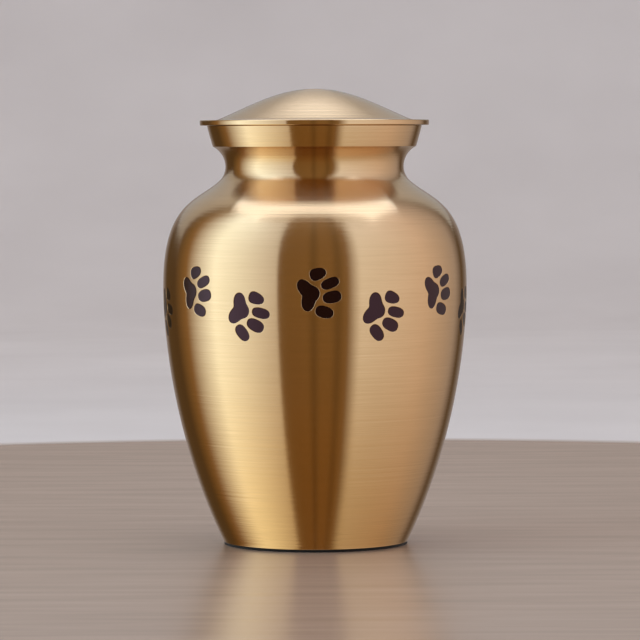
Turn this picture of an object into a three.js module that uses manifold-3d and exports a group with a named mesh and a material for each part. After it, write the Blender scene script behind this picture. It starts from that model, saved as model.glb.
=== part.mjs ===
// Cremation urn in turned brass: a hollow vase, a domed lid that lifts off, and a felt pad under the foot.
// A trail of engraved paw prints walks round the belly of the vase.
// Millimetres, +Z up, origin at the middle of the underside. The front of the urn faces -Y.
import * as THREE from "three";
import { mergeVertices } from "three/addons/utils/BufferGeometryUtils.js";
import Module from "manifold-3d";

const wasm = await Module();
wasm.setup();

// Driving dimensions
const SIDES = 40; // facets round the axis
const FLANK_STEPS = 7; // facets up the side below the belly
const SHOULDER_STEPS = 7; // facets up the side above it
const THROAT_STEPS = 3; // facets up each arc of the throat
const INNER_STEPS = 4; // facets up the inside, below the belly and above it
const INNER_THROAT_STEPS = 2;
const DOME_STEPS = 5; // facets from the lid's crown to its flange
const DOME_INNER_STEPS = 3;
const FLANGE_EDGE_STEPS = 1;
const WALL = 2;

const FELT_THICKNESS = 1.3;
const FELT_INSET = 0.6; // how far the pad stays inside the foot's edge
const GLUE_LINE = 0.1;

const FOOT_RADIUS = 52;
const FOOT_EDGE = 0.5; // the broken edge under the foot
const FOOT_LEAN = THREE.MathUtils.degToRad(25.3); // of the side wall where it leaves the foot
const FLOOR_THICKNESS = 2.5;
const BELLY_RADIUS = 85;
const BELLY_HEIGHT = 144.2;
const THROAT_RADIUS = 49.9;
const THROAT_HEIGHT = 211.2;
const THROAT_ARC_BELOW = 10.7;
const THROAT_ARC_ABOVE = 12.7;
const SHOULDER_ANGLE = THREE.MathUtils.degToRad(48); // turn of the throat arc where the shoulder begins
const CREASE_ANGLE = THREE.MathUtils.degToRad(63.2); // turn of the throat arc where the lip begins
const RIM_RADIUS = 60;
const RIM_HEIGHT = 234.2;
const RIM_WIDTH = 2.4;

// How far each curve holds the direction of its end before it bends away
const FOOT_PULL = 75.8;
const BELLY_PULL_DOWN = 10;
const BELLY_PULL_UP = 47.5;
const SHOULDER_PULL = 16.8;
const LIP_BEND = new THREE.Vector2(58.9, 229.1);

const SEAT_GAP = 0.1; // between the rim and the lid that rests on it
const LID_TOP = 254.7;
const FLANGE_RADIUS = 64.1;
const FLANGE_THICKNESS = 3;
const FLANGE_EDGE = 0.6;
const DOME_RADIUS = 52.3;
const DOME_SLOPE = THREE.MathUtils.degToRad(23); // of the dome where it runs out into the flange
const DOME_CROWN_PULL = 20;
const DOME_SKIRT_PULL = 18;
const DOME_FILLET = 12.6;
const SKIRT_DEPTH = 8;
const SKIRT_CLEARANCE = 0.6;

const PAW_PAIRS = 7; // one print of the upper row and one of the lower row in each pair
const FRONT_PAW_ANGLE = -2.45; // degrees from the front, of the heel pad of an upper print
// Each row: height of the heel pads, degrees that the toes point up, and degrees round from the upper row
const UPPER_ROW = { height: 143.1, turn: 10, step: 0 };
const LOWER_ROW = { height: 134.8, turn: -25, step: 24.8 };
const ENGRAVING_DEPTH = 0.5;
const CUTTER_REACH = 1.6; // how far a pad's cutter goes in and stands out, more than the belly curves
const HEEL_LEAN = THREE.MathUtils.degToRad(4);
const HEEL_WAVES = [6.34, 0.34, -1.67, 1.41, 0.2, -0.25]; // radius as a sum of cosines, three lobes
const HEEL_SIDES = 12;
const TOE_SIDES = 8;
const HALVINGS = 40; // of the search for a height on a side curve
const WELD = 1e-4;
// Each toe: how far ahead of the heel pad and to its left it lies, its size, its turn and how it narrows
const TOES = [
  { ahead: 7.2, left: 10.0, length: 9.0, width: 6.3, turn: 6, narrowing: 0.2 },
  { ahead: 12.8, left: 3.85, length: 10.2, width: 5.6, turn: 12, narrowing: 0 },
  { ahead: 12.5, left: -3.65, length: 10.2, width: 6.5, turn: 0, narrowing: -0.05 },
  { ahead: 7.0, left: -10.9, length: 9.9, width: 6.3, turn: -25, narrowing: 0.05 },
];

const brass = () => new THREE.MeshStandardMaterial({ color: 0xc49a56, roughness: 0.35, metalness: 1 });
const felt = () => new THREE.MeshStandardMaterial({ color: 0x0c0b0b, roughness: 1, metalness: 0 });

const point = (radius, height) => new THREE.Vector2(radius, height);

// Points along a curve after its first one, moved to the left of its direction by an inset.
function trace(curve, steps, inset = 0) {
  return Array.from({ length: steps }, (_, i) => {
    const along = (i + 1) / steps;
    const direction = curve.getTangent(along);
    return curve.getPoint(along).add(point(-direction.y, direction.x).multiplyScalar(inset));
  });
}

// A solid of revolution about Z from an outline that starts and ends on the axis.
function turned(outline) {
  return new THREE.LatheGeometry(outline, SIDES).rotateX(Math.PI / 2);
}

// The outer side of the vase, from the foot up to the rim
const footHeight = FELT_THICKNESS + GLUE_LINE;
const foot = point(FOOT_RADIUS, footHeight + FOOT_EDGE);
const belly = point(BELLY_RADIUS, BELLY_HEIGHT);
const shoulderStart = point(
  THROAT_RADIUS + THROAT_ARC_BELOW * (1 - Math.cos(SHOULDER_ANGLE)),
  THROAT_HEIGHT - THROAT_ARC_BELOW * Math.sin(SHOULDER_ANGLE),
);
const crease = point(
  THROAT_RADIUS + THROAT_ARC_ABOVE * (1 - Math.cos(CREASE_ANGLE)),
  THROAT_HEIGHT + THROAT_ARC_ABOVE * Math.sin(CREASE_ANGLE),
);
const flank = new THREE.CubicBezierCurve(
  foot,
  point(foot.x + FOOT_PULL * Math.sin(FOOT_LEAN), foot.y + FOOT_PULL * Math.cos(FOOT_LEAN)),
  point(belly.x, belly.y - BELLY_PULL_DOWN),
  belly,
);
const shoulder = new THREE.CubicBezierCurve(
  belly,
  point(belly.x, belly.y + BELLY_PULL_UP),
  point(
    shoulderStart.x + SHOULDER_PULL * Math.sin(SHOULDER_ANGLE),
    shoulderStart.y - SHOULDER_PULL * Math.cos(SHOULDER_ANGLE),
  ),
  shoulderStart,
);
const throatBelow = throatArc(THROAT_ARC_BELOW, -SHOULDER_ANGLE, 0);
const throatAbove = throatArc(THROAT_ARC_ABOVE, 0, CREASE_ANGLE);
const lip = new THREE.QuadraticBezierCurve(crease, LIP_BEND, point(RIM_RADIUS, RIM_HEIGHT));

// Part of a hollow round the throat, between two turns away from level.
function throatArc(radius, from, to) {
  return new THREE.EllipseCurve(
    THROAT_RADIUS + radius, THROAT_HEIGHT, radius, radius, Math.PI - from, Math.PI - to, true,
  );
}

// The cone inside the mouth, which the lid's skirt follows
const mouthTop = point(RIM_RADIUS - RIM_WIDTH, RIM_HEIGHT);
const mouthFoot = trace(throatArc(THROAT_ARC_ABOVE, 0, SHOULDER_ANGLE), 1, WALL)[0];
const mouthSlope = (mouthTop.x - mouthFoot.x) / (mouthTop.y - mouthFoot.y);

function vaseOutline() {
  const floorHeight = footHeight + FLOOR_THICKNESS;
  const outside = [
    point(0, footHeight),
    point(FOOT_RADIUS - FOOT_EDGE, footHeight),
    foot,
    ...trace(flank, FLANK_STEPS),
    ...trace(shoulder, SHOULDER_STEPS),
    ...trace(throatBelow, THROAT_STEPS),
    ...trace(throatAbove, THROAT_STEPS),
    ...trace(lip, 1),
  ];
  const inside = [
    point(0, floorHeight),
    point(FOOT_RADIUS - WALL, floorHeight),
    ...trace(flank, INNER_STEPS, WALL),
    ...trace(shoulder, INNER_STEPS, WALL),
    ...trace(throatBelow, INNER_THROAT_STEPS, WALL),
    mouthFoot,
    mouthTop,
  ];
  return [...outside, ...inside.reverse()];
}

function lidOutline() {
  const seat = RIM_HEIGHT + SEAT_GAP;
  const flangeTop = seat + FLANGE_THICKNESS;
  const domeEnd = point(DOME_RADIUS, flangeTop + DOME_FILLET * (1 - Math.cos(DOME_SLOPE)));
  const dome = new THREE.CubicBezierCurve(
    point(0, LID_TOP),
    point(DOME_CROWN_PULL, LID_TOP),
    point(
      domeEnd.x - DOME_SKIRT_PULL * Math.cos(DOME_SLOPE),
      domeEnd.y + DOME_SKIRT_PULL * Math.sin(DOME_SLOPE),
    ),
    domeEnd,
  );
  const fillet = new THREE.EllipseCurve(
    domeEnd.x + DOME_FILLET * Math.sin(DOME_SLOPE), flangeTop + DOME_FILLET, DOME_FILLET, DOME_FILLET,
    -Math.PI / 2 - DOME_SLOPE, -Math.PI / 2, false,
  );
  const upperEdge = new THREE.EllipseCurve(
    FLANGE_RADIUS - FLANGE_EDGE, flangeTop - FLANGE_EDGE, FLANGE_EDGE, FLANGE_EDGE, Math.PI / 2, 0, true,
  );
  const lowerEdge = new THREE.EllipseCurve(
    FLANGE_RADIUS - FLANGE_EDGE, seat + FLANGE_EDGE, FLANGE_EDGE, FLANGE_EDGE, 0, -Math.PI / 2, true,
  );
  const skirtTop = mouthTop.x - SKIRT_CLEARANCE;
  const skirtFoot = point(skirtTop - mouthSlope * SKIRT_DEPTH, seat - SKIRT_DEPTH);
  const underside = trace(dome, DOME_INNER_STEPS, -WALL);
  return [
    point(0, LID_TOP),
    ...trace(dome, DOME_STEPS),
    ...trace(fillet, 1),
    ...upperEdge.getPoints(FLANGE_EDGE_STEPS),
    ...lowerEdge.getPoints(FLANGE_EDGE_STEPS),
    point(skirtTop, seat),
    skirtFoot,
    point(skirtFoot.x - WALL, skirtFoot.y),
    ...underside.reverse(),
    point(0, LID_TOP - WALL),
  ].reverse();
}

// A closed mesh as a solid that can be cut, and back.
function solidFrom(geometry) {
  const bare = geometry.index ? geometry.toNonIndexed() : geometry.clone();
  bare.deleteAttribute("normal");
  bare.deleteAttribute("uv");
  const merged = mergeVertices(bare, WELD);
  const corners = merged.index.array;
  const triVerts = [];
  for (let i = 0; i < corners.length; i += 3) {
    const [a, b, c] = [corners[i], corners[i + 1], corners[i + 2]];
    if (a !== b && b !== c && c !== a) triVerts.push(a, b, c);
  }
  return new wasm.Manifold(
    new wasm.Mesh({
      numProp: 3,
      vertProperties: merged.attributes.position.array,
      triVerts: new Uint32Array(triVerts),
    }),
  );
}

function geometryFrom(solid) {
  const mesh = solid.getMesh();
  const geometry = new THREE.BufferGeometry()
    .setAttribute("position", new THREE.BufferAttribute(mesh.vertProperties, 3))
    .setIndex(new THREE.BufferAttribute(mesh.triVerts, 1));
  geometry.computeVertexNormals();
  return geometry;
}

// Radius and outward lean of the vase at a height between the foot and the shoulder.
function sideAt(height) {
  const curve = height < BELLY_HEIGHT ? flank : shoulder;
  let [low, high] = [0, 1];
  for (let i = 0; i < HALVINGS; i++) {
    const middle = (low + high) / 2;
    if (curve.getPoint(middle).y < height) low = middle;
    else high = middle;
  }
  const direction = curve.getTangent(low);
  return { radius: curve.getPoint(low).x, lean: Math.atan2(direction.x, direction.y) };
}

// The heel pad of a print: a rounded shape with two lobes behind and one in front.
function heelShape() {
  const points = Array.from({ length: HEEL_SIDES }, (_, i) => {
    const angle = (i / HEEL_SIDES) * 2 * Math.PI;
    const radius = HEEL_WAVES.reduce((sum, wave, k) => sum + wave * Math.cos(k * angle), 0);
    return point(radius * Math.cos(angle + HEEL_LEAN), radius * Math.sin(angle + HEEL_LEAN));
  });
  return new THREE.Shape(points);
}

// A toe pad: an oval that narrows to one end.
function toeShape(toe) {
  const turn = THREE.MathUtils.degToRad(toe.turn);
  const points = Array.from({ length: TOE_SIDES }, (_, i) => {
    const angle = (i / TOE_SIDES) * 2 * Math.PI;
    const along = (toe.length / 2) * Math.cos(angle);
    const across = (toe.width / 2) * (1 - toe.narrowing * Math.cos(angle)) * Math.sin(angle);
    return point(along, across).rotateAround(point(0, 0), turn);
  });
  return new THREE.Shape(points);
}

// A cutter for one pad, set square to the vase's side at an angle from the front and a height.
function padCutter(shape, turn, angle, height) {
  const { radius, lean } = sideAt(height);
  const outward = new THREE.Vector3(
    Math.sin(angle) * Math.cos(lean), -Math.cos(angle) * Math.cos(lean), -Math.sin(lean),
  );
  const across = new THREE.Vector3(Math.cos(angle), Math.sin(angle), 0);
  const upward = new THREE.Vector3().crossVectors(outward, across);
  const middle = new THREE.Vector3(radius * Math.sin(angle), -radius * Math.cos(angle), height);
  const geometry = new THREE.ExtrudeGeometry(shape, {
    depth: 2 * CUTTER_REACH,
    bevelEnabled: false,
  });
  geometry.rotateZ(turn);
  geometry.translate(0, 0, -CUTTER_REACH);
  geometry.applyMatrix4(new THREE.Matrix4().makeBasis(across, upward, outward).setPosition(middle));
  return solidFrom(geometry);
}

// The cutters of one paw print, in a pair of prints at an angle from the front.
function pawCutters(row, angle) {
  const turn = THREE.MathUtils.degToRad(row.turn);
  const heelAngle = angle + THREE.MathUtils.degToRad(row.step);
  const pads = [
    { shape: heelShape(), place: point(0, 0) },
    ...TOES.map((toe) => ({ shape: toeShape(toe), place: point(toe.ahead, toe.left) })),
  ];
  return pads.map(({ shape, place }) => {
    const { x, y } = place.rotateAround(point(0, 0), turn);
    const height = row.height + y;
    return padCutter(shape, turn, heelAngle + x / BELLY_RADIUS, height);
  });
}

// What the cutters leave standing: the vase's side, lower by the depth of the engraving.
function engravingFloor() {
  const side = [
    ...trace(flank, FLANK_STEPS, ENGRAVING_DEPTH),
    ...trace(shoulder, SHOULDER_STEPS, ENGRAVING_DEPTH),
  ];
  return solidFrom(turned([point(0, side[0].y), ...side, point(0, side.at(-1).y)]));
}

function urnBody() {
  const pitch = (2 * Math.PI) / PAW_PAIRS;
  const cutters = [];
  for (let pair = 0; pair < PAW_PAIRS; pair++) {
    const angle = THREE.MathUtils.degToRad(FRONT_PAW_ANGLE) + pair * pitch;
    cutters.push(...pawCutters(UPPER_ROW, angle), ...pawCutters(LOWER_ROW, angle));
  }
  const engraving = cutters.reduce((all, cutter) => all.add(cutter)).subtract(engravingFloor());
  return geometryFrom(solidFrom(turned(vaseOutline())).subtract(engraving));
}

function feltPad() {
  const radius = FOOT_RADIUS - FELT_INSET;
  return new THREE.CylinderGeometry(radius, radius, FELT_THICKNESS, SIDES)
    .rotateX(Math.PI / 2)
    .translate(0, 0, FELT_THICKNESS / 2);
}

function named(name, geometry, material) {
  const mesh = new THREE.Mesh(geometry, material);
  mesh.name = name;
  return mesh;
}

const urn = new THREE.Group();
urn.add(
  named("urn_body", urnBody(), brass()),
  named("lid", turned(lidOutline()), brass()),
  named("felt_pad", feltPad(), felt()),
);

export default urn;
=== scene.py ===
"""Brass pet cremation urn: a brushed vase with enamelled paw prints, a domed lid and a felt pad."""
import math

import bpy
import numpy as np
from mathutils import Euler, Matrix
from mathutils.geometry import delaunay_2d_cdt


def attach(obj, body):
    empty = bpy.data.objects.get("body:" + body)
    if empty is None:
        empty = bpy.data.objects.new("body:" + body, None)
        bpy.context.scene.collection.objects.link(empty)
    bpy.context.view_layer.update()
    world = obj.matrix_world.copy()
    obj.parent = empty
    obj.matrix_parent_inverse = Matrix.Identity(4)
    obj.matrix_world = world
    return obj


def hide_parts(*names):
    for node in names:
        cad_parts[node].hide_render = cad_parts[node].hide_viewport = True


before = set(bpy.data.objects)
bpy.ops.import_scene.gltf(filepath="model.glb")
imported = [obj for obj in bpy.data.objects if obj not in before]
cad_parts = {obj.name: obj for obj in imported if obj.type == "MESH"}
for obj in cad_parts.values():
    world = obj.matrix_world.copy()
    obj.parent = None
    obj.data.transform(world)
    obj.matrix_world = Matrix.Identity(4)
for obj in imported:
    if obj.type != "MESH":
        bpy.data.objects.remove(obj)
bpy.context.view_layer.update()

# Sizes in metres, the same as those of the solids
MM = 0.001
WALL = 2 * MM
FELT_THICKNESS = 1.3 * MM
FELT_RADIUS = 51.4 * MM
FELT_EDGE = 0.3 * MM
FOOT_HEIGHT = 1.4 * MM
FOOT_RADIUS = 52 * MM
FOOT_EDGE = 0.5 * MM
FOOT_LEAN = math.radians(25.3)
FLOOR_HEIGHT = 3.9 * MM
INNER_FLANK_START = 8 * MM
BELLY_RADIUS = 85 * MM
BELLY_HEIGHT = 144.2 * MM
THROAT_RADIUS = 49.9 * MM
THROAT_HEIGHT = 211.2 * MM
THROAT_ARC_BELOW = 10.7 * MM
THROAT_ARC_ABOVE = 12.7 * MM
SHOULDER_ANGLE = math.radians(48)
CREASE_ANGLE = math.radians(63.2)
RIM_RADIUS = 60 * MM
RIM_HEIGHT = 234.2 * MM
RIM_WIDTH = 2.4 * MM
RIM_EDGE = 0.3 * MM
FOOT_PULL = 75.8 * MM
BELLY_PULL_DOWN = 10 * MM
BELLY_PULL_UP = 47.5 * MM
SHOULDER_PULL = 16.8 * MM
LIP_BEND = (58.9 * MM, 229.1 * MM)

SEAT_HEIGHT = 234.3 * MM
LID_TOP = 254.7 * MM
FLANGE_RADIUS = 64.1 * MM
FLANGE_THICKNESS = 3 * MM
FLANGE_EDGE = 0.6 * MM
DOME_RADIUS = 52.3 * MM
DOME_SLOPE = math.radians(23)
DOME_CROWN_PULL = 20 * MM
DOME_SKIRT_PULL = 18 * MM
DOME_FILLET = 12.6 * MM
SKIRT_DEPTH = 8 * MM
SKIRT_CLEARANCE = 0.6 * MM

# The paw prints
PAW_PAIRS = 7
PAW_MARGIN = 13.3 * MM  # from the start of a cell of the pattern to its upper heel pad
FRONT_PAW_ANGLE = math.radians(-2.45)
UPPER_ROW = {"height": 143.1 * MM, "turn": math.radians(10), "step": 0}
LOWER_ROW = {"height": 134.8 * MM, "turn": math.radians(-25), "step": math.radians(24.8)}
ENGRAVING_DEPTH = 0.5 * MM
HEEL_LEAN = math.radians(4)
HEEL_WAVES = [6.34, 0.34, -1.67, 1.41, 0.2, -0.25]
HEEL_POINTS = 96
TOE_POINTS = 56
TOES = [
    {"ahead": 7.2, "left": 10.0, "length": 9.0, "width": 6.3, "turn": 6, "narrowing": 0.2},
    {"ahead": 12.8, "left": 3.85, "length": 10.2, "width": 5.6, "turn": 12, "narrowing": 0},
    {"ahead": 12.5, "left": -3.65, "length": 10.2, "width": 6.5, "turn": 0, "narrowing": -0.05},
    {"ahead": 7.0, "left": -10.9, "length": 9.9, "width": 6.3, "turn": -25, "narrowing": 0.05},
]
TOE_SQUARENESS = 0.82
LIP_ROUND = 0.3 * MM
ENAMEL_GAP = 0.02 * MM
ENAMEL_DEPTH = 0.16 * MM
ENAMEL_RISE = 0.1 * MM
ENAMEL_RISE_WIDTH = 0.25 * MM

# How finely the round surfaces are cut
CELL_SEGMENTS = 36
SEGMENTS = PAW_PAIRS * CELL_SEGMENTS
CELL_ANGLE = 2 * math.pi / PAW_PAIRS
CELL_START = FRONT_PAW_ANGLE - PAW_MARGIN / BELLY_RADIUS
BAND_LOW = 112 * MM
BAND_HIGH = 162 * MM
BAND_ROWS = 25
FILL_PITCH = 1.5 * MM
CURVE_SAMPLES = 2000
WELD = 1e-6


# Outlines: each stretch is a pair of arrays, its points (radius, height) and the normals to its right

def stretch(points, directions):
    normals = np.column_stack([directions[:, 1], -directions[:, 0]])
    return points, normals / np.linalg.norm(normals, axis=1)[:, None]


def bezier(corners, steps):
    corners = np.array(corners, float)
    degree = len(corners) - 1
    t = np.linspace(0, 1, steps + 1)[:, None]

    def blend(values, order):
        weights = [math.comb(order, k) * (1 - t) ** (order - k) * t ** k for k in range(order + 1)]
        return sum(weight * value for weight, value in zip(weights, values))

    return stretch(blend(corners, degree), blend(np.diff(corners, axis=0), degree - 1))


def arc(centre, radius, start, end, steps):
    angles = np.linspace(start, end, steps + 1)
    way = math.copysign(1, end - start)
    round_it = np.column_stack([np.cos(angles), np.sin(angles)])
    along = np.column_stack([-np.sin(angles), np.cos(angles)]) * way
    return stretch(np.array(centre) + radius * round_it, along)


def line(start, end, steps=1):
    t = np.linspace(0, 1, steps + 1)[:, None]
    start, end = np.array(start), np.array(end)
    return stretch(start + (end - start) * t, np.repeat([end - start], steps + 1, axis=0))


def inner_side(outer, distance):
    points, normals = outer
    return (points - normals * distance)[::-1], -normals[::-1]


# Surfaces are gathered with a normal for each corner, and become one welded mesh

class Skin:
    def __init__(self):
        self.points, self.normals, self.faces = [], [], []
        self.count = 0

    def add(self, points, normals, faces):
        self.points.append(points)
        self.normals.append(normals)
        self.faces.extend([i + self.count for i in face] for face in faces)
        self.count += len(points)

    def build(self, name, material):
        points, normals = np.vstack(self.points), np.vstack(self.normals)
        keys = np.round(points / WELD).astype(np.int64)
        _, first, welded = np.unique(keys, axis=0, return_index=True, return_inverse=True)
        welded = welded.ravel()
        faces = [[int(welded[i]) for i in face] for face in self.faces]
        mesh = bpy.data.meshes.new(name)
        mesh.from_pydata(points[first].tolist(), [], faces)
        mesh.shade_smooth()
        mesh.normals_split_custom_set([normals[i].tolist() for face in self.faces for i in face])
        mesh.materials.append(material)
        piece = bpy.data.objects.new(name, mesh)
        bpy.context.collection.objects.link(piece)
        return piece


def revolve(skin, outline):
    """One stretch of an outline, turned all the way round the axis."""
    points, normals = outline
    angles = CELL_START + np.arange(SEGMENTS) * (2 * math.pi / SEGMENTS)
    sin, cos = np.sin(angles), np.cos(angles)

    def turned(pairs):
        radius, height = pairs[:, :1], pairs[:, 1:]
        columns = [radius * sin, -radius * cos, np.repeat(height, SEGMENTS, axis=1)]
        return np.stack(columns, axis=-1).reshape(-1, 3)

    on_axis = points[:, 0] < WELD
    faces = []
    for i in range(len(points) - 1):
        for j in range(SEGMENTS):
            a, b = i * SEGMENTS + j, i * SEGMENTS + (j + 1) % SEGMENTS
            c, d = b + SEGMENTS, a + SEGMENTS
            if on_axis[i]:
                faces.append([a, c, d])
            elif on_axis[i + 1]:
                faces.append([a, b, d])
            else:
                faces.append([a, b, c, d])
    skin.add(turned(points), turned(normals), faces)


# The vase's outer side
foot = (FOOT_RADIUS, FOOT_HEIGHT + FOOT_EDGE)
belly = (BELLY_RADIUS, BELLY_HEIGHT)
throat_below_centre = (THROAT_RADIUS + THROAT_ARC_BELOW, THROAT_HEIGHT)
throat_above_centre = (THROAT_RADIUS + THROAT_ARC_ABOVE, THROAT_HEIGHT)
shoulder_end = (
    throat_below_centre[0] - THROAT_ARC_BELOW * math.cos(SHOULDER_ANGLE),
    THROAT_HEIGHT - THROAT_ARC_BELOW * math.sin(SHOULDER_ANGLE),
)
crease = (
    throat_above_centre[0] - THROAT_ARC_ABOVE * math.cos(CREASE_ANGLE),
    THROAT_HEIGHT + THROAT_ARC_ABOVE * math.sin(CREASE_ANGLE),
)
flank_corners = [
    foot,
    (foot[0] + FOOT_PULL * math.sin(FOOT_LEAN), foot[1] + FOOT_PULL * math.cos(FOOT_LEAN)),
    (belly[0], belly[1] - BELLY_PULL_DOWN),
    belly,
]
shoulder_corners = [
    belly,
    (belly[0], belly[1] + BELLY_PULL_UP),
    (
        shoulder_end[0] + SHOULDER_PULL * math.sin(SHOULDER_ANGLE),
        shoulder_end[1] - SHOULDER_PULL * math.cos(SHOULDER_ANGLE),
    ),
    shoulder_end,
]


def side_between(corners, low, high, steps):
    """The part of a side curve between two heights, at even steps of height."""
    points, normals = bezier(corners, CURVE_SAMPLES)
    heights = np.linspace(low, high, steps + 1)
    radius = np.interp(heights, points[:, 1], points[:, 0])
    turned = [np.interp(heights, points[:, 1], normals[:, k]) for k in range(2)]
    return np.column_stack([radius, heights]), np.column_stack(turned)


def side_at(heights):
    """Radius of the belly band and its normal (outward, upward) at some heights."""
    low, low_normals = bezier(flank_corners, CURVE_SAMPLES)
    high, high_normals = bezier(shoulder_corners, CURVE_SAMPLES)
    points = np.vstack([low, high[1:]])
    normals = np.vstack([low_normals, high_normals[1:]])
    columns = [points[:, 0], normals[:, 0], normals[:, 1]]
    return [np.interp(heights, points[:, 1], column) for column in columns]


mouth_foot = (
    throat_above_centre[0] - (THROAT_ARC_ABOVE + WALL) * math.cos(SHOULDER_ANGLE),
    THROAT_HEIGHT + (THROAT_ARC_ABOVE + WALL) * math.sin(SHOULDER_ANGLE),
)
mouth_top = (RIM_RADIUS - RIM_WIDTH, RIM_HEIGHT)


def vase_stretches():
    """The vase's outline but for the belly band, from the axis underneath round to the axis inside."""
    lower = side_between(flank_corners, foot[1], BAND_LOW, 40)
    upper = side_between(shoulder_corners, BAND_HIGH, shoulder_end[1], 26)
    throat_below = arc(throat_below_centre, THROAT_ARC_BELOW, math.pi + SHOULDER_ANGLE, math.pi, 14)
    throat_above = arc(throat_above_centre, THROAT_ARC_ABOVE, math.pi, math.pi - CREASE_ANGLE, 16)
    lip = bezier([crease, LIP_BEND, (RIM_RADIUS, RIM_HEIGHT - RIM_EDGE)], 10)
    floor_edge = (FOOT_RADIUS - WALL, FLOOR_HEIGHT)
    inner_flank = inner_side(side_between(flank_corners, INNER_FLANK_START, BELLY_HEIGHT, 24), WALL)
    inner_shoulder = inner_side(bezier(shoulder_corners, 16), WALL)
    inner_below, inner_above = THROAT_ARC_BELOW + WALL, THROAT_ARC_ABOVE + WALL
    inner_throat_below = arc(throat_below_centre, inner_below, math.pi, math.pi + SHOULDER_ANGLE, 6)
    inner_throat_above = arc(throat_above_centre, inner_above, math.pi - SHOULDER_ANGLE, math.pi, 6)
    return [
        line((0, FOOT_HEIGHT), (FOOT_RADIUS - FOOT_EDGE, FOOT_HEIGHT), 6),
        arc((FOOT_RADIUS - FOOT_EDGE, foot[1]), FOOT_EDGE, -math.pi / 2, 0, 5),
        lower,
        upper,
        throat_below,
        throat_above,
        lip,
        arc((RIM_RADIUS - RIM_EDGE, RIM_HEIGHT - RIM_EDGE), RIM_EDGE, 0, math.pi / 2, 4),
        line((RIM_RADIUS - RIM_EDGE, RIM_HEIGHT), mouth_top),
        line(mouth_top, mouth_foot, 4),
        inner_throat_above,
        inner_throat_below,
        inner_shoulder,
        inner_flank,
        line(inner_flank[0][-1], floor_edge, 2),
        line(floor_edge, (0, FLOOR_HEIGHT), 6),
    ]


def lid_stretches():
    """The lid's outline, from the axis underneath round to the crown."""
    flange_top = SEAT_HEIGHT + FLANGE_THICKNESS
    edge_middle = FLANGE_RADIUS - FLANGE_EDGE
    dome_end = (DOME_RADIUS, flange_top + DOME_FILLET * (1 - math.cos(DOME_SLOPE)))
    fillet_middle = (dome_end[0] + DOME_FILLET * math.sin(DOME_SLOPE), flange_top + DOME_FILLET)
    dome = bezier(
        [
            dome_end,
            (
                dome_end[0] - DOME_SKIRT_PULL * math.cos(DOME_SLOPE),
                dome_end[1] + DOME_SKIRT_PULL * math.sin(DOME_SLOPE),
            ),
            (DOME_CROWN_PULL, LID_TOP),
            (0, LID_TOP),
        ],
        48,
    )
    under_dome = inner_side(dome, WALL)
    mouth_slope = (mouth_top[0] - mouth_foot[0]) / (mouth_top[1] - mouth_foot[1])
    skirt_top = (mouth_top[0] - SKIRT_CLEARANCE, SEAT_HEIGHT)
    skirt_foot = (skirt_top[0] - mouth_slope * SKIRT_DEPTH, SEAT_HEIGHT - SKIRT_DEPTH)
    skirt_inside = (skirt_foot[0] - WALL, skirt_foot[1])
    return [
        under_dome,
        line(under_dome[0][-1], skirt_inside, 4),
        line(skirt_inside, skirt_foot),
        line(skirt_foot, skirt_top, 4),
        line(skirt_top, (edge_middle, SEAT_HEIGHT), 4),
        arc((edge_middle, SEAT_HEIGHT + FLANGE_EDGE), FLANGE_EDGE, -math.pi / 2, 0, 6),
        line((FLANGE_RADIUS, SEAT_HEIGHT + FLANGE_EDGE), (FLANGE_RADIUS, flange_top - FLANGE_EDGE), 2),
        arc((edge_middle, flange_top - FLANGE_EDGE), FLANGE_EDGE, 0, math.pi / 2, 6),
        line((edge_middle, flange_top), (fillet_middle[0], flange_top), 4),
        arc(fillet_middle, DOME_FILLET, -math.pi / 2, -math.pi / 2 - DOME_SLOPE, 12),
        dome,
    ]


# Paw prints: outlines in the flattened belly band, counter-clockwise, as (along the belly, height)

def turn_about_zero(points, angle):
    cos, sin = math.cos(angle), math.sin(angle)
    return points @ np.array([[cos, sin], [-sin, cos]])


def heel_outline():
    angles = np.arange(HEEL_POINTS) * (2 * math.pi / HEEL_POINTS)
    radius = sum(wave * np.cos(k * angles) for k, wave in enumerate(HEEL_WAVES)) * MM
    return turn_about_zero(np.column_stack([radius * np.cos(angles), radius * np.sin(angles)]), HEEL_LEAN)


def toe_outline(toe):
    angles = np.arange(TOE_POINTS) * (2 * math.pi / TOE_POINTS)
    cos, sin = [np.sign(wave) * np.abs(wave) ** TOE_SQUARENESS for wave in (np.cos(angles), np.sin(angles))]
    along = toe["length"] / 2 * cos
    across = toe["width"] / 2 * (1 - toe["narrowing"] * cos) * sin
    oval = turn_about_zero(np.column_stack([along, across]), math.radians(toe["turn"]))
    return (oval + [toe["ahead"], toe["left"]]) * MM


def paw_outlines(row):
    """The pads of one print, measured from the start of a cell of the pattern."""
    place = [(FRONT_PAW_ANGLE + row["step"] - CELL_START) * BELLY_RADIUS, row["height"]]
    pads = [heel_outline(), *(toe_outline(toe) for toe in TOES)]
    return [turn_about_zero(pad, row["turn"]) + place for pad in pads]


def cell_outlines():
    return [*paw_outlines(UPPER_ROW), *paw_outlines(LOWER_ROW)]


def outline_normals(outline):
    along = np.roll(outline, -1, axis=0) - np.roll(outline, 1, axis=0)
    normals = np.column_stack([along[:, 1], -along[:, 0]])
    return normals / np.linalg.norm(normals, axis=1)[:, None]


def inset(outline, distance):
    return outline - outline_normals(outline) * distance


def inside(points, outline):
    """Which points lie inside a closed outline, by counting the edges that each one sees to its right."""
    x, y = points[:, :1], points[:, 1:]
    start, end = outline, np.roll(outline, -1, axis=0)
    crosses = (start[:, 1] > y) != (end[:, 1] > y)
    rise = np.where(end[:, 1] == start[:, 1], 1, end[:, 1] - start[:, 1])
    crossing = start[:, 0] + (y - start[:, 1]) / rise * (end[:, 0] - start[:, 0])
    return (crosses & (x < crossing)).sum(axis=1) % 2 == 1


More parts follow.
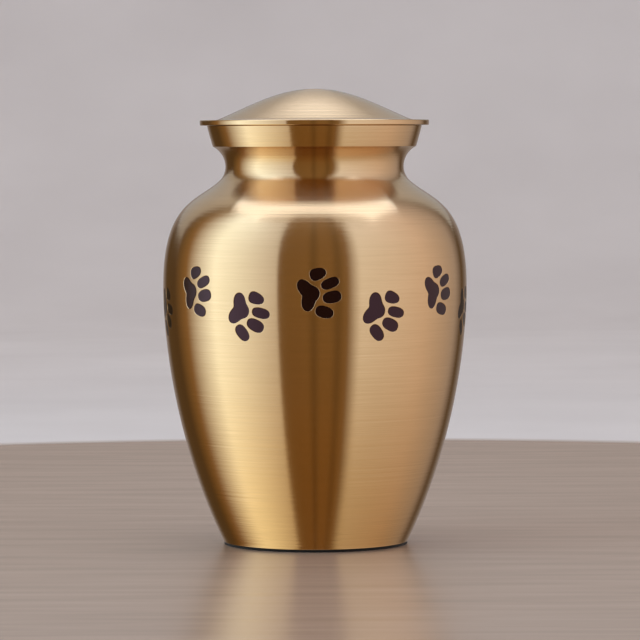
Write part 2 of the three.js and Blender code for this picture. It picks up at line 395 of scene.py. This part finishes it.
def clear_of(points, outline, distance):
    gaps = np.linalg.norm(points[:, None, :] - outline[None, :, :], axis=2)
    return gaps.min(axis=1) > distance


def triangulate(points, loops, keep_inside):
    """Triangles between scattered points and closed loops, inside the loops or outside them."""
    coords = np.vstack([points, *loops])
    rings, start = [], len(points)
    for loop in loops:
        rings.append(list(range(start, start + len(loop))))
        start += len(loop)
    _, _, faces, origins, _, owners = delaunay_2d_cdt((coords / MM).tolist(), [], rings, 0, 1e-6)
    flat = coords[[origin[0] for origin in origins]]
    return flat, [face for face, owner in zip(faces, owners) if bool(owner) == keep_inside]


def fill(outline):
    low, high = outline.min(axis=0), outline.max(axis=0)
    across, up = [np.arange(low[k] + FILL_PITCH / 2, high[k], FILL_PITCH) for k in range(2)]
    grid = np.array([(x, y) for x in across for y in up])
    grid = grid[inside(grid, outline) & clear_of(grid, outline, FILL_PITCH / 2)]
    return triangulate(grid, [outline], True)


# Placing the flattened band on the vase

def on_belly(flat, cell, depth=0.0):
    """Points of the flattened band on the vase, some depth below its surface, with the axes there."""
    angle = CELL_START + cell * CELL_ANGLE + flat[:, 0] / BELLY_RADIUS
    radius, out, up = side_at(flat[:, 1])
    sin, cos, none = np.sin(angle), np.cos(angle), np.zeros(len(flat))
    surface = np.column_stack([radius * sin, -radius * cos, flat[:, 1]])
    normal = np.column_stack([out * sin, -out * cos, up])
    east = np.column_stack([cos, sin, none])
    north = np.cross(normal, east)
    return surface - normal * np.reshape(depth, (-1, 1)), normal, east, north


def add_fill(skin, flat, faces, cell, depth, facing):
    points, normal, _, _ = on_belly(flat, cell, depth)
    skin.add(points, normal * facing, [face if facing > 0 else face[::-1] for face in faces])


def add_rings(skin, outline, cell, rings):
    """Bands between rings that follow a pad's outline. Each ring has an inset, a depth and a tilt of its
    normal: 0 faces out of the surface, and a quarter turn faces the middle of the pad."""
    way_out = outline_normals(outline)
    count = len(outline)
    points, normals = [], []
    for distance, depth, tilt in rings:
        place, normal, east, north = on_belly(outline - way_out * distance, cell, depth)
        inward = -(east * way_out[:, :1] + north * way_out[:, 1:])
        points.append(place)
        normals.append(normal * math.cos(tilt) + inward * math.sin(tilt))
    faces = []
    for i in range(len(rings) - 1):
        for j in range(count):
            a, b = i * count + j, i * count + (j + 1) % count
            faces.append([a, b, b + count, a + count])
    skin.add(np.vstack(points), np.vstack(normals), faces)


def band_grid(outlines):
    """Points of the flattened band that keep clear of the pads, with even rows on all four edges."""
    across = np.linspace(0, CELL_ANGLE * BELLY_RADIUS, CELL_SEGMENTS + 1)
    up = np.linspace(BAND_LOW, BAND_HIGH, BAND_ROWS + 1)
    grid = np.array([(x, y) for x in across for y in up])
    keep = np.ones(len(grid), bool)
    for outline in outlines:
        keep &= clear_of(grid, outline, FILL_PITCH / 2) & ~inside(grid, outline)
    return grid[keep]


def lip_rings():
    """The rounded edge of an engraved pad and the wall below it."""
    turns = np.linspace(0, math.pi / 2, 5)
    rounded = [(-LIP_ROUND * (1 - math.sin(a)), LIP_ROUND * (1 - math.cos(a)), a) for a in turns]
    return [*rounded, (0, ENGRAVING_DEPTH, math.pi / 2)]


def enamel_rings():
    """The enamel's upper surface near its edge, where it climbs the wall."""
    rings = []
    for distance in (0, 0.08 * MM, 0.2 * MM, 0.4 * MM, 0.7 * MM):
        climb = ENAMEL_RISE * math.exp(-distance / ENAMEL_RISE_WIDTH)
        rings.append((ENAMEL_GAP + distance, ENAMEL_DEPTH - climb, math.atan(climb / ENAMEL_RISE_WIDTH)))
    return rings


def add_belly_band(skin):
    """The engraved band of the vase: the surface between the pads, their walls and their floors."""
    outlines = cell_outlines()
    lips = [inset(outline, -LIP_ROUND) for outline in outlines]
    surface = triangulate(band_grid(lips), lips, False)
    floors = [fill(outline) for outline in outlines]
    for cell in range(PAW_PAIRS):
        add_fill(skin, *surface, cell, 0.0, 1)
        for outline, floor in zip(outlines, floors):
            add_rings(skin, outline, cell, lip_rings())
            add_fill(skin, *floor, cell, ENGRAVING_DEPTH, 1)


def make_vase(material):
    skin = Skin()
    for outline in vase_stretches():
        revolve(skin, outline)
    add_belly_band(skin)
    return skin.build("urn_body_turned", material)


def make_enamel(material):
    skin = Skin()
    rings = enamel_rings()
    foot_depth = ENGRAVING_DEPTH - ENAMEL_GAP
    for outline in cell_outlines():
        top = fill(inset(outline, rings[-1][0]))
        bottom = fill(inset(outline, ENAMEL_GAP))
        side = [(ENAMEL_GAP, foot_depth, -math.pi / 2), (ENAMEL_GAP, rings[0][1], -math.pi / 2)]
        for cell in range(PAW_PAIRS):
            add_rings(skin, outline, cell, side)
            add_rings(skin, outline, cell, rings)
            add_fill(skin, *top, cell, rings[-1][1], 1)
            add_fill(skin, *bottom, cell, foot_depth, -1)
    return skin.build("paw_enamel", material)


def make_lid(material):
    skin = Skin()
    for outline in lid_stretches():
        revolve(skin, outline)
    return skin.build("lid_turned", material)


def make_felt(material):
    top = FELT_THICKNESS - FELT_EDGE
    edge = FELT_RADIUS - FELT_EDGE
    skin = Skin()
    for outline in (
        line((0, 0), (edge, 0), 12),
        arc((edge, FELT_EDGE), FELT_EDGE, -math.pi / 2, 0, 3),
        line((FELT_RADIUS, FELT_EDGE), (FELT_RADIUS, top)),
        arc((edge, top), FELT_EDGE, 0, math.pi / 2, 3),
        line((edge, FELT_THICKNESS), (0, FELT_THICKNESS), 12),
    ):
        revolve(skin, outline)
    return skin.build("felt_pad_disc", material)


# Materials

class Nodes:
    """A material's node tree, with short calls to add a node, set its inputs and join it up."""

    def __init__(self, name):
        self.material = bpy.data.materials.new(name)
        self.material.use_nodes = True
        self.tree = self.material.node_tree
        self.shader = self.tree.nodes["Principled BSDF"]

    def add(self, kind, settings=None, **inputs):
        node = self.tree.nodes.new(kind)
        for key, value in (settings or {}).items():
            setattr(node, key, value)
        for key, value in inputs.items():
            self.feed(node.inputs[int(key[1:])], value)
        return node

    def feed(self, socket, value):
        if isinstance(value, bpy.types.NodeSocket):
            self.tree.links.new(value, socket)
        else:
            socket.default_value = value

    def set(self, inputs):
        for name, value in inputs.items():
            self.feed(self.shader.inputs[name], value)

    def math(self, operation, a, b):
        return self.add("ShaderNodeMath", {"operation": operation}, i0=a, i1=b).outputs[0]

    def spread(self, value, low, high, from_low=0.3, from_high=0.7):
        """A noise value spread over a range of another quantity."""
        limits = {"i1": from_low, "i2": from_high, "i3": low, "i4": high}
        return self.add("ShaderNodeMapRange", None, i0=value, **limits).outputs[0]

    def mix(self, factor, low, high):
        node = self.add("ShaderNodeMix", {"data_type": "RGBA"})
        for socket, value in zip((node.inputs[0], node.inputs[6], node.inputs[7]), (factor, low, high)):
            self.feed(socket, value)
        return node.outputs[2]

    def noise(self, vector, scale, detail, roughness=0.5):
        node = self.add("ShaderNodeTexNoise")
        settings = {"Vector": vector, "Scale": scale, "Detail": detail, "Roughness": roughness}
        for key, value in settings.items():
            self.feed(node.inputs[key], value)
        return node.outputs["Fac"]

    def place(self):
        return self.add("ShaderNodeTexCoord").outputs["Object"]

    def bump(self, height, distance):
        node = self.add("ShaderNodeBump")
        for key, value in {"Height": height, "Distance": distance, "Strength": 1.0}.items():
            self.feed(node.inputs[key], value)
        return node.outputs["Normal"]


def brushed_lines(nodes, pitch, length, detail=3.0):
    """Noise drawn out round the axis: lines of a pitch across the brushing and a length along it."""
    x, y, z = nodes.add("ShaderNodeSeparateXYZ", None, i0=nodes.place()).outputs
    flat = nodes.add("ShaderNodeCombineXYZ", None, i0=x, i1=y)
    radius = nodes.add("ShaderNodeVectorMath", {"operation": "LENGTH"}, i0=flat.outputs[0]).outputs["Value"]
    unit = nodes.add("ShaderNodeVectorMath", {"operation": "NORMALIZE"}, i0=flat.outputs[0])
    around_x, around_y, _ = nodes.add("ShaderNodeSeparateXYZ", None, i0=unit.outputs[0]).outputs
    along = BELLY_RADIUS / length
    vector = nodes.add(
        "ShaderNodeCombineXYZ",
        None,
        i0=nodes.math("MULTIPLY", around_x, along),
        i1=nodes.math("MULTIPLY", around_y, along),
        i2=nodes.math("MULTIPLY", z, 1 / pitch),
    )
    noise = nodes.add("ShaderNodeTexNoise", {"noise_dimensions": "4D"})
    settings = {
        "Vector": vector.outputs[0],
        "W": nodes.math("MULTIPLY", radius, 1 / pitch),
        "Scale": 1.0,
        "Detail": detail,
        "Roughness": 0.6,
    }
    for key, value in settings.items():
        nodes.feed(noise.inputs[key], value)
    return noise.outputs["Fac"]


def brass_material():
    nodes = Nodes("brushed_brass")
    fine = brushed_lines(nodes, 0.6 * MM, 36 * MM)
    broad = brushed_lines(nodes, 1.5 * MM, 80 * MM)
    groove = brushed_lines(nodes, 0.7 * MM, 160 * MM, detail=0.0)
    cloud = nodes.noise(nodes.place(), 22.0, 3.0)
    tint = nodes.mix(nodes.spread(cloud, 0, 1), (0.70, 0.475, 0.265, 1), (0.74, 0.50, 0.285, 1))
    worked = nodes.mix(nodes.spread(fine, 0, 0.16), tint, (0.45, 0.28, 0.12, 1))
    rough = nodes.math("ADD", nodes.spread(fine, -0.02, 0.02), nodes.spread(broad, 0.165, 0.185))
    tangent = nodes.add("ShaderNodeTangent", {"direction_type": "RADIAL", "axis": "Z"})
    nodes.set({
        "Base Color": worked,
        "Metallic": 1.0,
        "Roughness": rough,
        "Anisotropic": 1.0,
        "Anisotropic Rotation": 0.25,
        "Tangent": tangent.outputs[0],
        "Normal": nodes.bump(groove, 0.055 * MM),
        "Coat Weight": 0.12,
        "Coat Roughness": 0.18,
    })
    return nodes.material


def enamel_material():
    nodes = Nodes("black_enamel")
    cloud = nodes.noise(nodes.place(), 260.0, 3.0)
    grain = nodes.noise(nodes.place(), 2400.0, 2.0)
    darker, lighter = (0.001, 0.0005, 0.0006, 1), (0.0025, 0.001, 0.0013, 1)
    nodes.set({
        "Base Color": nodes.mix(nodes.spread(cloud, 0, 1), darker, lighter),
        "Roughness": nodes.spread(grain, 0.16, 0.26),
        "Specular IOR Level": 0.6,
        "Specular Tint": (1.0, 0.5, 0.6, 1),
        "Normal": nodes.bump(nodes.math("ADD", cloud, nodes.math("MULTIPLY", grain, 0.3)), 0.03 * MM),
    })
    return nodes.material


def felt_material():
    nodes = Nodes("black_felt")
    fibres = nodes.noise(nodes.place(), 3200.0, 4.0, 0.7)
    matted = nodes.noise(nodes.place(), 300.0, 2.0)
    tuft = nodes.math("MULTIPLY", fibres, nodes.spread(matted, 0.6, 1.0))
    nodes.set({
        "Base Color": nodes.mix(tuft, (0.004, 0.004, 0.004, 1), (0.016, 0.015, 0.015, 1)),
        "Roughness": nodes.spread(fibres, 0.85, 1.0),
        "Sheen Weight": 0.15,
        "Sheen Roughness": 0.6,
        "Specular IOR Level": 0.2,
        "Normal": nodes.bump(fibres, 0.15 * MM),
    })
    return nodes.material


# The pieces, each riding on the one body
brass = brass_material()
pieces = [
    (make_vase(brass), "brass", "urn_body"),
    (make_enamel(enamel_material()), "enamel", None),
    (make_lid(brass), "brass", "lid"),
    (make_felt(felt_material()), "felt", "felt_pad"),
]
for piece, slot, node in pieces:
    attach(piece, "root")
    if node:
        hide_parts(node)


# The stage: a pale floor that sweeps up into walls, a soft box on each side and a dim front between them
FLOOR_RADIUS = 0.72
FLOOR_EDGE = 0.03
FLOOR_GAP = 0.05 * MM
SWEEP_RADIUS = 3.4
SWEEP_BEND = 1.0
SWEEP_HEIGHT = 4.0
STAGE_SEGMENTS = 96
PANEL_DISTANCE = 1.5
PANEL_TOP = 2.2
PANEL_FOOT = -9.0
PANEL_STEP = 0.5
WALL_FOOT = 0.45
LOW_LIGHT = -1.1
EVEN_LIGHT = -0.1
FRONT_TOP = 4.2


def stage_mesh(name, points, faces, material):
    mesh = bpy.data.meshes.new(name)
    mesh.from_pydata(points, [], faces)
    mesh.shade_smooth()
    mesh.materials.append(material)
    thing = bpy.data.objects.new(name, mesh)
    bpy.context.collection.objects.link(thing)
    return thing


def floor_material():
    nodes = Nodes("pale_floor")
    x, y, z = nodes.add("ShaderNodeSeparateXYZ", None, i0=nodes.place()).outputs
    drawn_out = nodes.add("ShaderNodeCombineXYZ", None, i0=nodes.math("MULTIPLY", x, 0.12), i1=y, i2=z)
    grain = nodes.noise(drawn_out.outputs[0], 60.0, 4.0)
    centre = nodes.add("ShaderNodeVectorMath", {"operation": "LENGTH"}, i0=nodes.place()).outputs["Value"]
    floor = nodes.mix(nodes.spread(grain, 0, 1), (0.42, 0.31, 0.24, 1), (0.47, 0.35, 0.275, 1))
    cloud = nodes.noise(nodes.place(), 4.0, 3.0)
    wall = nodes.mix(nodes.spread(cloud, 0, 1), (0.74, 0.69, 0.675, 1), (0.80, 0.75, 0.735, 1))
    beyond = nodes.spread(centre, 0, 1, FLOOR_RADIUS, FLOOR_RADIUS + FLOOR_EDGE)
    nodes.set({
        "Base Color": nodes.mix(beyond, floor, wall),
        "Roughness": nodes.math("ADD", nodes.spread(grain, 0.2, 0.26), nodes.math("MULTIPLY", beyond, 0.6)),
    })
    return nodes.material


def make_sweep():
    bend_start = SWEEP_RADIUS - SWEEP_BEND
    floor = line((0, 0), (bend_start, 0), 8)[0]
    bend = arc((bend_start, SWEEP_BEND), SWEEP_BEND, -math.pi / 2, 0, 16)[0]
    wall = line((SWEEP_RADIUS, SWEEP_BEND), (SWEEP_RADIUS, SWEEP_HEIGHT))[0]
    profile = np.vstack([floor, bend[1:], wall[1:]])
    points, faces = [], []
    for i, (radius, height) in enumerate(profile):
        for j in range(STAGE_SEGMENTS):
            angle = 2 * math.pi * j / STAGE_SEGMENTS
            points.append((radius * math.sin(angle), -radius * math.cos(angle), height))
            if i:
                a, b = (i - 1) * STAGE_SEGMENTS + j, (i - 1) * STAGE_SEGMENTS + (j + 1) % STAGE_SEGMENTS
                faces.append((a + STAGE_SEGMENTS, b + STAGE_SEGMENTS, b, a))
    return stage_mesh("floor_sweep", points, faces, floor_material())


def glow_material():
    nodes = Nodes("soft_box_glow")
    glow = nodes.add("ShaderNodeAttribute", {"attribute_name": "glow"})
    emission = nodes.add("ShaderNodeEmission", None, i0=glow.outputs["Color"], i1=1.0)
    output = nodes.tree.nodes["Material Output"]
    nodes.tree.links.new(emission.outputs[0], output.inputs["Surface"])
    return nodes.material


def make_panel(name, stops, fades, material, lights=False):
    """A tall panel that curves round the urn. Each stop is an angle from the front with the brightness
    and the tint there. Each fade is a height with the tint that the light takes on there."""
    angles, *colours = np.array([(angle, *(level * np.array(tint))) for angle, level, tint in stops]).T
    turns = np.arange(angles[0], angles[-1] + PANEL_STEP / 2, PANEL_STEP)
    bright = np.column_stack([np.interp(turns, angles, colour) for colour in colours])
    rows = len(fades)
    points, faces, glow = [], [], []
    for i, (turn, colour) in enumerate(zip(np.radians(turns), bright)):
        for height, fade in fades:
            points.append((PANEL_DISTANCE * math.sin(turn), -PANEL_DISTANCE * math.cos(turn), height))
            glow.append((*(colour * np.array(fade)), 1.0))
        if i:
            before, here = (i - 1) * rows, i * rows
            faces += [(before + k, here + k, here + k + 1, before + k + 1) for k in range(rows - 1)]
    panel = stage_mesh(name, points, faces, material)
    attribute = panel.data.color_attributes.new("glow", "FLOAT_COLOR", "POINT")
    attribute.data.foreach_set("color", np.array(glow, np.float32).ravel())
    panel.visible_camera = False
    panel.visible_shadow = False
    panel.visible_diffuse = lights


def warm_below(top, strength):
    """Fades of a panel whose light is even at the urn, cooler above it and warm and dim below the floor."""
    lowest, low = np.array((0.5, 0.36, 0.2)), np.array((0.8, 0.65, 0.42))
    return [
        (PANEL_FOOT, lowest * strength),
        (LOW_LIGHT, low * strength),
        (EVEN_LIGHT, (1, 1, 1)),
        (top, (1.1, 1.2, 1.4)),
    ]


def make_area_light(name, place, turn, size, radiance, colour):
    data = bpy.data.lights.new(name, "AREA")
    data.shape = "RECTANGLE"
    data.size, data.size_y = size
    data.energy = radiance * math.pi * size[0] * size[1]
    data.color = colour
    light = bpy.data.objects.new(name, data)
    light.location = place
    light.rotation_euler = turn
    light.visible_camera = False
    bpy.context.collection.objects.link(light)
    return light


def make_stage():
    sweep = make_sweep()
    sweep.location.z = -FLOOR_GAP
    sweep.visible_glossy = False
    glow = glow_material()
    white, cream, tan, brown = (1.0, 1.2, 1.3), (1.0, 1.03, 1.05), (1.0, 0.88, 0.82), (1.0, 0.62, 0.25)
    left = [
        (-130, 0.1, brown),
        (-112, 0.3, brown),
        (-80, 1.5, white),
        (-28, 0.75, cream),
        (-27, 0.22, brown),
    ]
    right = [(24, 0.25, brown), (34, 0.95, cream), (90, 0.8, tan), (130, 0.45, tan), (145, 0.1, brown)]
    front = [(-27, 0.22, brown)]
    for stand in (-1, 17):
        front += [(stand - 5, 0.25, brown), (stand, 0.17, brown), (stand + 5, 0.25, brown)]
    front.append((24, 0.25, brown))
    behind = [(145, 0.1, brown), (165, 0.3, tan), (195, 0.3, tan), (210, 0.1, brown), (230, 0.1, brown)]
    wall = [(145, 0.5, cream), (230, 0.5, cream)]
    wall_fades = [(WALL_FOOT, (0.8, 0.8, 0.8)), (PANEL_TOP, (1.3, 1.3, 1.3))]
    make_panel("soft_box_left", left, warm_below(PANEL_TOP, 1.1), glow, True)
    make_panel("soft_box_right", right, warm_below(PANEL_TOP, 0.8), glow, True)
    make_panel("dim_front", front, warm_below(FRONT_TOP, 1.1), glow)
    make_panel("dim_behind", behind, [(PANEL_FOOT, (0.6, 0.5, 0.4)), (WALL_FOOT, (1, 1, 1))], glow)
    make_panel("wall_behind", wall, wall_fades, glow)
    day = (1.0, 1.22, 1.55)
    top = make_area_light("soft_box_top", (0, 0.55, 2.0), (0, 0, 0), (2.6, 2.2), 1.15, day)
    back = make_area_light("soft_box_back", (0, 1.9, 1.5), (math.radians(-57), 0, 0), (0.6, 1.0), 2.1, day)
    for light in (top, back):
        light.visible_diffuse = False
    evening = (1.0, 0.96, 0.92)
    floor_light = make_area_light("floor_light", (0, 0.4, 2.0), (0, 0, 0), (1.3, 2.2), 1.4, evening)
    floor_light.visible_glossy = False
    world = bpy.data.worlds.new("studio")
    world.use_nodes = True
    world.node_tree.nodes["Background"].inputs["Color"].default_value = (0.9, 0.9, 0.92, 1)
    world.node_tree.nodes["Background"].inputs["Strength"].default_value = 0.7
    bpy.context.scene.world = world
    bpy.context.scene.view_settings.view_transform = "Standard"


# The camera, level with the lip and far off, a little to the right of the urn's axis
CAMERA_DISTANCE = 2.128
CAMERA_HEIGHT = 0.2281
CAMERA_SIDE = 0.00275
CAMERA_DIP = math.radians(2.767)
CAMERA_ROLL = math.radians(0.2)
CAMERA_LENS = 213.75
SENSOR_WIDTH = 36


def make_camera():
    data = bpy.data.cameras.new("camera")
    data.lens = CAMERA_LENS
    data.sensor_width = SENSOR_WIDTH
    camera = bpy.data.objects.new("camera", data)
    camera.location = (CAMERA_SIDE, -CAMERA_DISTANCE, CAMERA_HEIGHT)
    level = Euler((math.pi / 2 - CAMERA_DIP, 0, 0)).to_matrix()
    camera.rotation_euler = (level @ Euler((0, 0, -CAMERA_ROLL)).to_matrix()).to_euler()
    bpy.context.collection.objects.link(camera)
    bpy.context.scene.camera = camera


make_stage()
make_camera()
